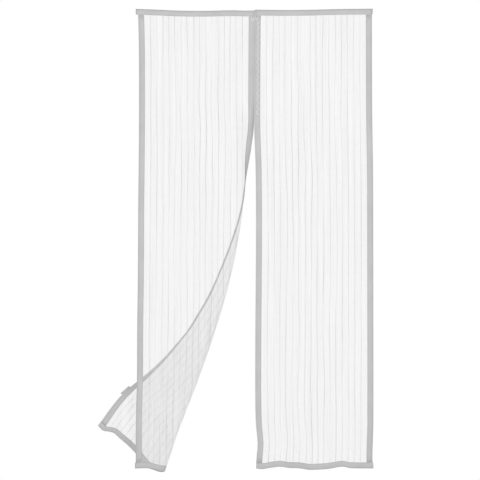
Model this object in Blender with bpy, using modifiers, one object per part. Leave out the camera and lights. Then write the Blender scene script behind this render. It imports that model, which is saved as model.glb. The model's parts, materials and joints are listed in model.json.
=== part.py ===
"""Insect screen for a doorway: two net panels that hang side by side from a header.

Each panel is a striped net bound on all four sides with folded tape. Small bar
magnets in the two meeting edges pull the panels shut behind whoever walks through.
Here the lower half of the left panel is folded away behind itself, so the doorway
stands partly open. The screen hangs on a hook and loop strip along the header.

The front faces -Y, +Z is up, and the origin is the middle of the hook strip's back
face, which is stuck to the door frame. All lengths are in metres.

Every sheet is drawn flat first, as u across the panel from its outer side and w down
from the header's top edge. A panel then says where each (u, w) hangs in space, and t
is the distance off the middle of the cloth, positive towards the back.
"""

import math

import bmesh
import bpy
from mathutils import Vector


# The two panels

PANEL_WIDTH = 0.533
PANEL_HEIGHT = 2.10
MEETING_X = 0.0025
MEETING_GAP = 0.0006

# Net: stripes run down it, and slots between them stand for its open weave

NET_THICKNESS = 0.0004
SLOT_COLUMNS = 17
SLOT_ROWS = 4
SLOT_WIDTH = 0.010
SLOT_ROW_SPACING = 0.012
SLOT_EDGE_MARGIN = 0.006
LEFT_ROW_SPLITS = (2, 8, 6, 8)
RIGHT_ROW_SPLITS = (1, 1, 1, 7)

# Binding tape, folded over every edge of the net

TAPE_WIDTH = 0.027
TAPE_THICKNESS = 0.0006
HEADER_HEIGHT = 0.026
HEADER_LEFT_OVERHANG = 0.011
HEADER_RIGHT_OVERHANG = 0.004
HEADER_STATIONS = 8
HEADER_SEAM = 0.0008
SIDE_STATIONS = 10
HEM_OVERHANG = 0.004
FIT = 0.0003
SEWN_LAP = 0.010
BENT_LAP = 0.0004

# Bar magnets in the two meeting edges, and the tab that opens the left panel

MAGNET_COUNT = 9
MAGNET_BELOW_TOP = 0.10
MAGNET_ABOVE_HEM = 0.08
MAGNET_LENGTH = 0.020
MAGNET_WIDTH = 0.010
MAGNET_THICKNESS = 0.0015
TAB_ABOVE_HEM = 0.174
TAB_LENGTH = 0.036
TAB_REACH = 0.014
TAB_THICKNESS = 0.0012

# Hook and loop strips on the back

STRIP_WIDTH = 0.020
LOOP_THICKNESS = 0.0010
HOOK_THICKNESS = 0.0010
STRIP_END_INSET = 0.004
SIDE_STRIP_STATIONS = 6

# How the panels hang. The first number of each row is the height as a share of the
# panel height, from 0 at the header to 1 at the hem. The drift is sideways, in metres.

LEFT_SIDE_DRIFT = (
    (0.00, 0.000), (0.10, 0.004), (0.26, 0.004), (0.42, 0.001), (0.58, -0.001),
    (0.70, -0.004), (0.80, -0.005), (0.90, -0.010), (1.00, -0.0105),
)
MEETING_DRIFT = (
    (0.00, 0.000), (0.10, -0.002), (0.26, -0.0025), (0.34, 0.003), (0.42, 0.005),
    (0.52, 0.005), (0.72, 0.002), (0.85, 0.002), (0.905, 0.005), (0.94, 0.0125),
    (0.96, 0.0115), (0.98, 0.007), (1.00, 0.006),
)
RIGHT_SIDE_DRIFT = (
    (0.00, 0.0015), (0.22, 0.003), (0.36, 0.007), (0.55, 0.008), (0.90, 0.0085),
    (0.94, 0.006), (0.97, 0.004), (1.00, 0.005),
)

# How far the cloth sags below a level line, by share of the panel width

LEFT_HEADER_SAG = (
    (0.00, 0.001), (0.18, 0.005), (0.34, 0.0087), (0.56, 0.010), (0.80, 0.0075),
    (0.93, 0.009), (1.00, 0.008),
)
RIGHT_HEADER_SAG = (
    (0.00, 0.0045), (0.25, 0.0062), (0.48, 0.005), (0.70, 0.002), (1.00, 0.000),
)
LEFT_HEM_SAG = (
    (0.00, 0.000), (0.12, 0.000), (0.22, 0.014), (0.27, 0.018), (0.34, 0.038),
    (0.40, 0.047), (0.48, 0.056), (0.54, 0.044), (0.60, 0.027), (0.68, 0.014),
    (0.77, 0.006), (0.83, 0.000), (0.88, 0.007), (0.95, 0.021), (1.00, 0.014),
)
RIGHT_HEM_SAG = (
    (0.00, 0.000), (0.05, 0.003), (0.14, -0.0045), (0.21, -0.008), (0.28, -0.0025),
    (0.38, 0.000), (0.45, 0.006), (0.52, 0.0055), (0.62, 0.002), (0.74, -0.008),
    (0.81, -0.0015), (1.00, 0.000),
)
HEADER_SAG_START = 0.05
HEADER_SAG_FADE = 0.50
HEM_SAG_FADE = 0.30

# The fold of the left panel, row by row: height share, where the bend starts as a
# share of the panel width, bend radius in metres, the full turn in degrees, and how
# many degrees the cloth turns back just before its edge tape

FOLD = (
    (0.190, 0.845, 0.030, 0, 0),
    (0.248, 0.837, 0.030, 25, 18),
    (0.295, 0.837, 0.028, 62, 42),
    (0.381, 0.858, 0.027, 108, 17),
    (0.476, 0.846, 0.015, 138, 37),
    (0.595, 0.740, 0.022, 174, 74),
    (0.714, 0.572, 0.039, 180, 79),
    (0.786, 0.465, 0.044, 176, 79),
    (0.867, 0.358, 0.041, 174, 58),
    (0.933, 0.276, 0.028, 169, 24),
    (1.000, 0.200, 0.022, 165, 0),
)
RELAX_LENGTH = 0.020
SHUT_UNTIL = 0.42
SHUT_FADE = 0.20

# Slack ripples of the hanging net, which die out at the header, the edge tapes and
# the fold

RIPPLE_DEPTH = 0.004
RIPPLE_PITCH = 0.178
RIPPLE_LEAN = 0.9
RIPPLE_EDGE = 0.06
RIPPLE_TOP = 0.35
RIPPLE_FOLD = 0.02

WALK_STEP = 0.002
SLOPE_STEP = 0.004
LINE_CLEAR = 0.0005

# Finishes: colour, roughness, metallic

NET_FINISH = ("white_net", (0.80, 0.80, 0.80, 1.0), 0.85, 0.0)
TAPE_FINISH = ("grey_tape", (0.56, 0.56, 0.57, 1.0), 0.80, 0.0)
LOOP_FINISH = ("loop_pile", (0.62, 0.62, 0.62, 1.0), 0.95, 0.0)
HOOK_FINISH = ("hook_strip", (0.70, 0.70, 0.70, 1.0), 0.60, 0.0)
MAGNET_FINISH = ("magnet_steel", (0.30, 0.30, 0.31, 1.0), 0.35, 0.9)

# Distances through the layers, from the middle of the net

WALL_MIDDLE = NET_THICKNESS / 2 + FIT + TAPE_THICKNESS / 2
TAPE_BACK = WALL_MIDDLE + TAPE_THICKNESS / 2
LOOP_MIDDLE = TAPE_BACK + FIT + LOOP_THICKNESS / 2
HOOK_MIDDLE = LOOP_MIDDLE + LOOP_THICKNESS / 2 + FIT + HOOK_THICKNESS / 2
PANEL_Y = -(HOOK_MIDDLE + HOOK_THICKNESS / 2)

MAGNET_INSET = TAPE_THICKNESS + FIT
POCKET_DEPTH = MAGNET_INSET + MAGNET_WIDTH
POCKET_WALL = MAGNET_THICKNESS / 2 + FIT + TAPE_THICKNESS / 2
TAB_MIDDLE = -(POCKET_WALL + TAPE_THICKNESS / 2 + FIT + TAB_THICKNESS / 2)


def smoothstep(share):
    """Ease from 0 to 1 as the share goes from 0 to 1."""
    share = min(max(share, 0.0), 1.0)
    return share * share * (3.0 - 2.0 * share)


def curve_at(rows, at, column=1):
    """Read a smooth curve through the rows of a table at one place."""
    places = [row[0] for row in rows]
    values = [row[column] for row in rows]
    at = min(max(at, places[0]), places[-1])
    last = len(rows) - 1
    low = max(i for i in range(last) if places[i] <= at)
    high = low + 1

    def slope(i):
        before = max(i - 1, 0)
        after = min(i + 1, last)
        return (values[after] - values[before]) / (places[after] - places[before])

    span = places[high] - places[low]
    s = (at - places[low]) / span
    start = values[low] * (2 * s**3 - 3 * s**2 + 1) + slope(low) * span * (s**3 - 2 * s**2 + s)
    end = values[high] * (3 * s**2 - 2 * s**3) + slope(high) * span * (s**3 - s**2)
    return start + end


def sag_at(header_sag, hem_sag, u, w):
    """How far the cloth at (u, w) hangs below its flat place."""
    across = u / PANEL_WIDTH
    from_top = 1.0 - smoothstep((w - HEADER_SAG_START) / HEADER_SAG_FADE)
    from_hem = smoothstep((w - PANEL_HEIGHT + HEM_SAG_FADE) / HEM_SAG_FADE)
    return curve_at(header_sag, across) * from_top + curve_at(hem_sag, across) * from_hem


def ripple_at(u, w):
    """Depth of the slack ripples at (u, w)."""
    edge = smoothstep(u / RIPPLE_EDGE - 0.5) * smoothstep((PANEL_WIDTH - u) / RIPPLE_EDGE - 0.5)
    top = smoothstep(w / RIPPLE_TOP)
    wave = math.sin(2.0 * math.pi * u / RIPPLE_PITCH + RIPPLE_LEAN * w)
    return RIPPLE_DEPTH * wave * edge * top


def meeting_x(w):
    """Where the two panels meet, at the height w."""
    return MEETING_X + curve_at(MEETING_DRIFT, w / PANEL_HEIGHT)


def header_top_z():
    """Height of the level line that the header sags below."""
    return HEADER_HEIGHT / 2 + (LEFT_HEADER_SAG[-1][1] + RIGHT_HEADER_SAG[0][1]) / 2


def left_side_x(w):
    """Outer edge of the left panel at the height w."""
    return MEETING_X - PANEL_WIDTH + curve_at(LEFT_SIDE_DRIFT, w / PANEL_HEIGHT)


def right_side_x(w):
    """Outer edge of the right panel at the height w."""
    return MEETING_X + PANEL_WIDTH + curve_at(RIGHT_SIDE_DRIFT, w / PANEL_HEIGHT)


def width_kept(w):
    """Share of the left panel's width that is left where it meets the right one."""
    shut = (meeting_x(w) - MEETING_GAP / 2 - left_side_x(w)) / PANEL_WIDTH
    return shut + (1.0 - shut) * smoothstep((w - SHUT_UNTIL) / SHUT_FADE)


def heights_beside(w):
    """The heights just above and just below w that still lie on the panel."""
    return max(w - SLOPE_STEP, 0.0), min(w + SLOPE_STEP, PANEL_HEIGHT)


def fold_tilt(w):
    """Angle of the fold line from the vertical, leaning left on its way down."""

    def fold_x(height):
        start = curve_at(FOLD, height / PANEL_HEIGHT) * PANEL_WIDTH
        return left_side_x(height) + start * width_kept(height)

    above, below = heights_beside(w)
    return math.atan2(fold_x(above) - fold_x(below), below - above)


def walk_round_fold(w):
    """Sideways, up and back travel past the fold line, for each step along the row."""
    share = w / PANEL_HEIGHT
    start = curve_at(FOLD, share, 1) * PANEL_WIDTH
    radius = curve_at(FOLD, share, 2)
    turn = math.radians(curve_at(FOLD, share, 3))
    relax = math.radians(curve_at(FOLD, share, 4))
    tilt = fold_tilt(w)
    relax_start = PANEL_WIDTH - TAPE_WIDTH - RELAX_LENGTH
    steps = math.ceil((PANEL_WIDTH - start) / WALK_STEP)
    stride = (PANEL_WIDTH - start) / steps

    across = 0.0
    back = 0.0
    travel = [(0.0, 0.0, 0.0)]
    for i in range(steps):
        along = (i + 0.5) * stride
        heading = min(along * math.cos(tilt) / radius, turn)
        heading -= relax * smoothstep((start + along - relax_start) / RELAX_LENGTH)
        across += math.cos(heading) * stride * math.cos(tilt)
        back += math.sin(heading) * stride * math.cos(tilt)
        done = (i + 1) * stride
        x = math.cos(tilt) * across + math.sin(tilt) ** 2 * done
        z = math.sin(tilt) * (math.cos(tilt) * done - across)
        travel.append((x, z, back))
    return start, stride, travel


def left_row(w):
    """Return a function that gives the place of each u along the row at height w."""
    start, stride, travel = walk_round_fold(w)
    kept = width_kept(w)
    side = left_side_x(w)
    top = header_top_z()

    def place(u):
        beyond = max(u - start, 0.0)
        step = beyond / stride
        low = min(int(step), len(travel) - 2)
        part = step - low
        move = [a + (b - a) * part for a, b in zip(travel[low], travel[low + 1])]
        x = side + (min(u, start) + move[0]) * kept
        z = top - w - sag_at(LEFT_HEADER_SAG, LEFT_HEM_SAG, u, w) + move[1]
        flatness = 1.0 - smoothstep(beyond / RIPPLE_FOLD)
        return Vector((x, PANEL_Y + move[2] + ripple_at(u, w) * flatness, z))

    return place


def right_row(w):
    """Return a function that gives the place of each u along the row at height w."""
    outer = right_side_x(w)
    inner = meeting_x(w) + MEETING_GAP / 2
    top = header_top_z()

    def place(u):
        across = u / PANEL_WIDTH
        sag = sag_at(RIGHT_HEADER_SAG, RIGHT_HEM_SAG, PANEL_WIDTH - u, w)
        return Vector((outer + (inner - outer) * across, PANEL_Y + ripple_at(u, w), top - w - sag))

    return place


class Panel:
    """One hanging panel, held as straight facets between its lines of stations.

    The right panel's u runs towards -X, so its back_sign is -1 to keep t positive
    towards the back.
    """

    def __init__(self, row, row_splits, back_sign):
        self.u_lines = panel_u_lines()
        self.w_lines = panel_w_lines(row_splits)
        self.points = []
        self.normals = []
        for w in self.w_lines:
            middle = row(w)
            above, below = (row(height) for height in heights_beside(w))
            self.points.append([middle(u) for u in self.u_lines])
            self.normals.append([])
            for u in self.u_lines:
                left = max(u - SLOPE_STEP, 0.0)
                right = min(u + SLOPE_STEP, PANEL_WIDTH)
                over = middle(right) - middle(left)
                down = below(u) - above(u)
                self.normals[-1].append(over.cross(down).normalized() * back_sign)

    def at(self, u, w, t):
        """Place of (u, w), t off the middle of the cloth, on the faceted panel."""
        i, s = line_share(self.u_lines, u)
        j, r = line_share(self.w_lines, w)
        corners = []
        for row in (j, j + 1):
            for column in (i, i + 1):
                corners.append(self.points[row][column] + self.normals[row][column] * t)
        upper = corners[0].lerp(corners[1], s)
        lower = corners[2].lerp(corners[3], s)
        return upper.lerp(lower, r)

    def u_between(self, first, last):
        """The station lines across the panel, from first to last."""
        return lines_between(self.u_lines, first, last)

    def w_between(self, first, last):
        """The station lines down the panel, from first to last."""
        return lines_between(self.w_lines, first, last)


def line_share(lines, value):
    """The line before a value, and its share of the way to the next one."""
    low = 0
    while low < len(lines) - 2 and lines[low + 1] <= value:
        low += 1
    return low, (value - lines[low]) / (lines[low + 1] - lines[low])


def lines_between(lines, first, last):
    """First, last and the lines that lie clear of both in between."""
    inner = [line for line in lines if first + LINE_CLEAR < line < last - LINE_CLEAR]
    return [first] + inner + [last]


def add_lines(lines, extra):
    """The lines with the extra ones that lie clear of them."""
    added = [new for new in extra if all(abs(new - line) > LINE_CLEAR for line in lines)]
    return sorted(lines + added)


def slot_edges():
    """Both edges of each column of slots, from the outer side inwards."""
    pitch = (PANEL_WIDTH - 2 * TAPE_WIDTH) / SLOT_COLUMNS
    edges = []
    for column in range(SLOT_COLUMNS):
        middle = TAPE_WIDTH + (column + 0.5) * pitch
        edges += [middle - SLOT_WIDTH / 2, middle + SLOT_WIDTH / 2]
    return edges


def slot_rows():
    """Top and bottom of each row of slots."""
    top = HEADER_HEIGHT + SLOT_EDGE_MARGIN
    bottom = PANEL_HEIGHT - TAPE_WIDTH - SLOT_EDGE_MARGIN
    height = (bottom - top - (SLOT_ROWS - 1) * SLOT_ROW_SPACING) / SLOT_ROWS
    starts = [top + row * (height + SLOT_ROW_SPACING) for row in range(SLOT_ROWS)]
    return [(start, start + height) for start in starts]


def panel_u_lines():
    """Stations across a panel: its edges, its tapes' inner edges and the slots."""
    return [0.0, TAPE_WIDTH] + slot_edges() + [PANEL_WIDTH - TAPE_WIDTH, PANEL_WIDTH]


def panel_w_lines(row_splits):
    """Stations down a panel: its edges, its hem and each row of slots split as told."""
    lines = [0.0]
    for (top, bottom), splits in zip(slot_rows(), row_splits):
        lines += [top + (bottom - top) * i / splits for i in range(splits + 1)]
    return lines + [PANEL_HEIGHT - TAPE_WIDTH, PANEL_HEIGHT]


def make_material(finish):
    """A plain material from a name, colour, roughness and metallic value."""
    name, colour, roughness, metallic = finish
    material = bpy.data.materials.new(name)
    material.use_nodes = True
    shader = material.node_tree.nodes["Principled BSDF"]
    shader.inputs["Base Color"].default_value = colour
    shader.inputs["Roughness"].default_value = roughness
    shader.inputs["Metallic"].default_value = metallic
    return material


def make_sheet(name, across, down, place, thickness, finish, is_open=None, turns_back=None):
    """Lay a grid over the lines across and down, place it, and thicken it.

    Each cell is split along one diagonal, so that sheets which lie on each other stay
    parallel where the cloth twists. Columns from turns_back on run the other way.
    """
    sheet = bmesh.new()
    bmesh.ops.create_grid(sheet, x_segments=len(across) - 1, y_segments=len(down) - 1, size=0.5)
    cell = {}
    for vertex in sheet.verts:
        i = round((vertex.co.x + 0.5) * (len(across) - 1))
        j = round((vertex.co.y + 0.5) * (len(down) - 1))
        cell[vertex.index] = (i, j)
    if is_open:
        holes = [face for face in sheet.faces if is_open(*lowest_cell(face, cell))]
    for vertex in sheet.verts:
        i, j = cell[vertex.index]
        vertex.co = place(across[i], down[j])
    if is_open:
        bmesh.ops.delete(sheet, geom=holes, context="FACES_ONLY")
    back = [face for face in sheet.faces if turns_back and lowest_cell(face, cell)[0] >= turns_back]
    front = set(sheet.faces).difference(back)
    bmesh.ops.triangulate(sheet, faces=list(front), quad_method="FIXED")
    bmesh.ops.triangulate(sheet, faces=back, quad_method="ALTERNATE")

    mesh = bpy.data.meshes.new(name)
    sheet.to_mesh(mesh)
    sheet.free()
    mesh.materials.append(make_material(finish))
    piece = bpy.data.objects.new(name, mesh)
    parts.objects.link(piece)
    solidify = piece.modifiers.new("thickness", "SOLIDIFY")
    solidify.thickness = thickness
    solidify.offset = 0.0
    solidify.use_even_offset = True
    return piece


def lowest_cell(face, cell):
    """The column and row of a grid face."""
    corners = [cell[vertex.index] for vertex in face.verts]
    return min(i for i, j in corners), min(j for i, j in corners)


def make_net(name, panel):
    """The striped net, whose edges lie inside the tapes."""
    across = panel.u_between(TAPE_WIDTH - SEWN_LAP, PANEL_WIDTH - TAPE_WIDTH + BENT_LAP)
    down = panel.w_between(HEADER_HEIGHT - SEWN_LAP, PANEL_HEIGHT - TAPE_WIDTH + BENT_LAP)
    slots = slot_edges()
    rows = slot_rows()

    def is_slot(i, j):
        u = (across[i] + across[i + 1]) / 2
        w = (down[j] + down[j + 1]) / 2
        in_column = any(left < u < right for left, right in zip(slots[::2], slots[1::2]))
        return in_column and any(start < w < end for start, end in rows)

    def place(u, w):
        return panel.at(u, w, 0.0)

    return make_sheet(name, across, down, place, NET_THICKNESS, NET_FINISH, is_slot)


def folded_profile(front_wall):
    """The lines of a tape folded over an edge: its front wall, mirrored to the back."""
    return front_wall + [(inward, -t) for inward, t in reversed(front_wall)]


def flat_profile(width):
    """Inward distance and t of each line of a tape that holds only the net."""
    return folded_profile([(width, -WALL_MIDDLE), (TAPE_THICKNESS / 2, -WALL_MIDDLE)])


def pocket_profile():
    """Inward distance and t of each line of the tape that also holds the magnets."""
    wall = [(TAPE_WIDTH, -WALL_MIDDLE), (POCKET_DEPTH, -POCKET_WALL)]
    return folded_profile(wall + [(TAPE_THICKNESS / 2, -POCKET_WALL)])


def make_binding(name, stations, profile, place):
    """A tape folded over an edge: the profile is carried from station to station."""
    lines = list(range(len(profile)))
    back = len(profile) // 2

    def place_line(line, station):
        inward, t = profile[line]
        return place(station, inward, t)

    make_sheet(name, lines, stations, place_line, TAPE_THICKNESS, TAPE_FINISH, None, back)


def make_panel_bindings(side, panel, twisted_ends):
    """The outer side tape, the meeting edge tape and the hem tape of one panel.

    Where the meeting edge twists, it has a station at each end of what it carries.
    """
    top = HEADER_HEIGHT + HEADER_SEAM
    bottom = PANEL_HEIGHT - TAPE_WIDTH - FIT
    side_stations = even_stations(top, bottom, SIDE_STATIONS)
    meeting_stations = add_lines(panel.w_between(top, bottom), twisted_ends)
    hem_stations = panel.u_between(-HEM_OVERHANG, PANEL_WIDTH)

    def outer(w, inward, t):
        return panel.at(inward, w, t)

    def meeting(w, inward, t):
        return panel.at(PANEL_WIDTH - inward, w, t)

    def hem(u, inward, t):
        return panel.at(u, PANEL_HEIGHT - inward, t)

    make_binding(side + "_side_tape", side_stations, flat_profile(TAPE_WIDTH), outer)
    make_binding(side + "_meeting_edge_tape", meeting_stations, pocket_profile(), meeting)
    make_binding(side + "_hem_tape", hem_stations, flat_profile(TAPE_WIDTH), hem)


def header_spans():
    """Both ends of each header tape along X."""
    left = left_side_x(0.0) - HEADER_LEFT_OVERHANG
    right = right_side_x(0.0) + HEADER_RIGHT_OVERHANG
    return {
        "left": (left, meeting_x(0.0) - MEETING_GAP / 2),
        "right": (meeting_x(0.0) + MEETING_GAP / 2, right),
    }


def header_sag(side, x):
    """How far the header of one panel sags at x."""
    across = abs(x - MEETING_X) / PANEL_WIDTH
    if side == "left":
        return curve_at(LEFT_HEADER_SAG, 1.0 - across)
    return curve_at(RIGHT_HEADER_SAG, across)


def even_stations(first, last, count):
    """Evenly spaced stations from first to last."""
    return [first + (last - first) * i / count for i in range(count + 1)]


def make_header(side):
    """One panel's header tape, folded over the top edge of its net."""
    first, last = header_spans()[side]

    def place(x, inward, t):
        return Vector((x, PANEL_Y + t, header_top_z() - header_sag(side, x) - inward))

    stations = even_stations(first, last, HEADER_STATIONS)
    make_binding(side + "_header_tape", stations, flat_profile(HEADER_HEIGHT), place)


def make_header_strips():
    """A loop strip on the back of each header tape, and one hook strip over both."""
    spans = header_spans()
    low = (HEADER_HEIGHT - STRIP_WIDTH) / 2
    edges = [low, low + STRIP_WIDTH]
    for side, (first, last) in spans.items():

        def place_loop(x, inward, side=side):
            z = header_top_z() - header_sag(side, x) - inward
            return Vector((x, PANEL_Y + LOOP_MIDDLE, z))

        stations = even_stations(first + STRIP_END_INSET, last - STRIP_END_INSET, HEADER_STATIONS)
        make_sheet(side + "_header_loop", stations, edges, place_loop, LOOP_THICKNESS, LOOP_FINISH)

    def place_hook(x, inward):
        side = "left" if x < MEETING_X else "right"
        sag = header_sag(side, x)
        if abs(x - MEETING_X) < STRIP_WIDTH:
            sag = (header_sag("left", MEETING_X) + header_sag("right", MEETING_X)) / 2
        return Vector((x, PANEL_Y + HOOK_MIDDLE, header_top_z() - sag - inward))

    ends = (spans["left"][0] + STRIP_END_INSET, spans["right"][1] - STRIP_END_INSET)
    stations = even_stations(*ends, 2 * HEADER_STATIONS)
    make_sheet("header_hook_strip", stations, edges, place_hook, HOOK_THICKNESS, HOOK_FINISH)


def make_side_strips(side, panel):
    """The loop strip sewn on a side tape, and the hook strip that it grips."""
    low = (TAPE_WIDTH - STRIP_WIDTH) / 2
    edges = [low, low + STRIP_WIDTH]
    top = HEADER_HEIGHT + STRIP_END_INSET
    bottom = PANEL_HEIGHT - TAPE_WIDTH - STRIP_END_INSET
    down = even_stations(top, bottom, SIDE_STRIP_STATIONS)

    def place_loop(u, w):
        return panel.at(u, w, LOOP_MIDDLE)

    def place_hook(u, w):
        return panel.at(u, w, HOOK_MIDDLE)

    make_sheet(side + "_side_loop", edges, down, place_loop, LOOP_THICKNESS, LOOP_FINISH)
    make_sheet(side + "_side_hook_strip", edges, down, place_hook, HOOK_THICKNESS, HOOK_FINISH)


def magnet_spans():
    """Top and bottom of each magnet."""
    last = PANEL_HEIGHT - MAGNET_ABOVE_HEM
    middles = even_stations(MAGNET_BELOW_TOP, last, MAGNET_COUNT - 1)
    return [(middle - MAGNET_LENGTH / 2, middle + MAGNET_LENGTH / 2) for middle in middles]


def make_magnets(side, panel):
    """The row of bar magnets in one meeting edge."""
    across = [PANEL_WIDTH - POCKET_DEPTH, PANEL_WIDTH - MAGNET_INSET]

    def place(u, w):
        return panel.at(u, w, 0.0)

    for number, (top, bottom) in enumerate(magnet_spans(), start=1):
        down = panel.w_between(top, bottom)
        name = f"{side}_magnet_{number:02d}"
        make_sheet(name, across, down, place, MAGNET_THICKNESS, MAGNET_FINISH)


def tab_span():
    """Top and bottom of the opening tab."""
    middle = PANEL_HEIGHT - TAB_ABOVE_HEM
    return middle - TAB_LENGTH / 2, middle + TAB_LENGTH / 2


def make_tab(panel):
    """The flat tab sewn to the front of the left meeting edge, to pull it open by."""
    across = [PANEL_WIDTH - POCKET_DEPTH, PANEL_WIDTH, PANEL_WIDTH + TAB_REACH]
    down = panel.w_between(*tab_span())

    def place(u, w):
        return panel.at(u, w, TAB_MIDDLE)

    make_sheet("opening_tab", across, down, place, TAB_THICKNESS, TAPE_FINISH)


for old in list(bpy.data.objects):
    bpy.data.objects.remove(old)
parts = bpy.data.collections.new("magnetic_insect_screen")
bpy.context.scene.collection.children.link(parts)

left_panel = Panel(left_row, LEFT_ROW_SPLITS, 1.0)
right_panel = Panel(right_row, RIGHT_ROW_SPLITS, -1.0)

make_net("left_net", left_panel)
make_net("right_net", right_panel)
carried_ends = [end for span in magnet_spans() + [tab_span()] for end in span]
make_panel_bindings("left", left_panel, carried_ends)
make_panel_bindings("right", right_panel, [])
make_header("left")
make_header("right")
make_header_strips()
make_side_strips("left", left_panel)
make_side_strips("right", right_panel)
make_magnets("left", left_panel)
make_magnets("right", right_panel)
make_tab(left_panel)
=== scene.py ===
"""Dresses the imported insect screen: net yarns, woven binding tape, stitches and strips.

Every piece is drawn flat first, as u across a panel from its outer side, w down from
the header's top edge and t off the middle of the cloth. One node tree then hangs it on
the panel. Lengths are in metres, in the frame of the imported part.
"""

import json
import math

import bmesh
import bpy
from bpy.props import FloatProperty, FloatVectorProperty, IntProperty, PointerProperty
from mathutils import Matrix, Vector

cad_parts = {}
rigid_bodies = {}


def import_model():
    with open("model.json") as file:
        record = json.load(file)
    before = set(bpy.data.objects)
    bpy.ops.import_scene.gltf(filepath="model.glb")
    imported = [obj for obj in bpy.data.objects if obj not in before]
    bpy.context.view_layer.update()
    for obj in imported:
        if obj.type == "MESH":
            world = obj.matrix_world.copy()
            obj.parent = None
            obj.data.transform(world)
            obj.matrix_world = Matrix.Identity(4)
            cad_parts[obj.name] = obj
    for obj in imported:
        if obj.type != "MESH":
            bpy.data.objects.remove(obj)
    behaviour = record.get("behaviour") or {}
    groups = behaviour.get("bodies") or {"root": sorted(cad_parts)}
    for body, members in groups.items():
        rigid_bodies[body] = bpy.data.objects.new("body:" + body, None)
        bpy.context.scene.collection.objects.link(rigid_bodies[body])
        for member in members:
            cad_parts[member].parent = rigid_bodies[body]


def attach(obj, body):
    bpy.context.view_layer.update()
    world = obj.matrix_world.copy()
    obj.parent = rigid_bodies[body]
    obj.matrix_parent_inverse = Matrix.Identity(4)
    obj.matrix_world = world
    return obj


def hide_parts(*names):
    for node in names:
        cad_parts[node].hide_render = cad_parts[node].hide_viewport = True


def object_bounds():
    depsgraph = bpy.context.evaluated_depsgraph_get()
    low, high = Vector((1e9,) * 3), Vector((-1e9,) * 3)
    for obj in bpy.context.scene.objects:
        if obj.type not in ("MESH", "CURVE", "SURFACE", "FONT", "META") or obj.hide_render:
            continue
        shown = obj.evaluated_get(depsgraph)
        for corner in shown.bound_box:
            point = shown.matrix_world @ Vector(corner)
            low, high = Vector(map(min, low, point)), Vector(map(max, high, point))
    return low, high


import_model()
CAD_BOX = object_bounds()

bl_info = {
    "name": "Magnetic insect screen",
    "version": (1, 0, 0),
    "blender": (4, 5, 0),
    "location": "3D View > Sidebar > Screen",
    "description": "Net, tape, stitching and studio for a hanging insect screen",
    "category": "Add Mesh",
}

# The two panels and how they hang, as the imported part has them

PANEL_WIDTH = 0.533
PANEL_HEIGHT = 2.10
MEETING_X = 0.0025
MEETING_GAP = 0.0006
NET_THICKNESS = 0.0004
TAPE_WIDTH = 0.027
TAPE_THICKNESS = 0.0006
HEADER_HEIGHT = 0.026
HEADER_OVERHANG = {"left": 0.011, "right": 0.004}
HEADER_SEAM = 0.0008
HEM_OVERHANG = 0.004
FIT = 0.0003
MAGNET_INSET = TAPE_THICKNESS + FIT
MAGNET_WIDTH = 0.010
MAGNET_THICKNESS = 0.0015
TAB_ABOVE_HEM = 0.174
TAB_LENGTH = 0.036
TAB_REACH = 0.014
TAB_THICKNESS = 0.0012
STRIP_WIDTH = 0.020
LOOP_THICKNESS = 0.0010
HOOK_THICKNESS = 0.0010
STRIP_END_INSET = 0.004

WALL_MIDDLE = NET_THICKNESS / 2 + FIT + TAPE_THICKNESS / 2
TAPE_BACK = WALL_MIDDLE + TAPE_THICKNESS / 2
LOOP_MIDDLE = TAPE_BACK + FIT + LOOP_THICKNESS / 2
HOOK_MIDDLE = LOOP_MIDDLE + LOOP_THICKNESS / 2 + FIT + HOOK_THICKNESS / 2
PANEL_Y = -(HOOK_MIDDLE + HOOK_THICKNESS / 2)
POCKET_DEPTH = MAGNET_INSET + MAGNET_WIDTH
POCKET_WALL = MAGNET_THICKNESS / 2 + FIT + TAPE_THICKNESS / 2
TAB_MIDDLE = -(POCKET_WALL + TAPE_THICKNESS / 2 + FIT + TAB_THICKNESS / 2)
TAPE_RUN_DOWN = (HEADER_HEIGHT + HEADER_SEAM, PANEL_HEIGHT - TAPE_WIDTH - FIT)
HEM_RUN = (-HEM_OVERHANG, PANEL_WIDTH)

LEFT_SIDE_DRIFT = (
    (0.00, 0.000), (0.10, 0.004), (0.26, 0.004), (0.42, 0.001), (0.58, -0.001),
    (0.70, -0.004), (0.80, -0.005), (0.90, -0.010), (1.00, -0.0105),
)
MEETING_DRIFT = (
    (0.00, 0.000), (0.10, -0.002), (0.26, -0.0025), (0.34, 0.003), (0.42, 0.005),
    (0.52, 0.005), (0.72, 0.002), (0.85, 0.002), (0.905, 0.005), (0.94, 0.0125),
    (0.96, 0.0115), (0.98, 0.007), (1.00, 0.006),
)
RIGHT_SIDE_DRIFT = (
    (0.00, 0.0015), (0.22, 0.003), (0.36, 0.007), (0.55, 0.008), (0.90, 0.0085),
    (0.94, 0.006), (0.97, 0.004), (1.00, 0.005),
)
LEFT_HEADER_SAG = (
    (0.00, 0.001), (0.18, 0.005), (0.34, 0.0087), (0.56, 0.010), (0.80, 0.0075),
    (0.93, 0.009), (1.00, 0.008),
)
RIGHT_HEADER_SAG = (
    (0.00, 0.0045), (0.25, 0.0062), (0.48, 0.005), (0.70, 0.002), (1.00, 0.000),
)
LEFT_HEM_SAG = (
    (0.00, 0.000), (0.12, 0.000), (0.22, 0.014), (0.27, 0.018), (0.34, 0.038),
    (0.40, 0.047), (0.48, 0.056), (0.54, 0.044), (0.60, 0.027), (0.68, 0.014),
    (0.77, 0.006), (0.83, 0.000), (0.88, 0.007), (0.95, 0.021), (1.00, 0.014),
)
RIGHT_HEM_SAG = (
    (0.00, 0.000), (0.05, 0.003), (0.14, -0.0045), (0.21, -0.008), (0.28, -0.0025),
    (0.38, 0.000), (0.45, 0.006), (0.52, 0.0055), (0.62, 0.002), (0.74, -0.008),
    (0.81, -0.0015), (1.00, 0.000),
)
HEADER_SAG_START = 0.05
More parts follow.
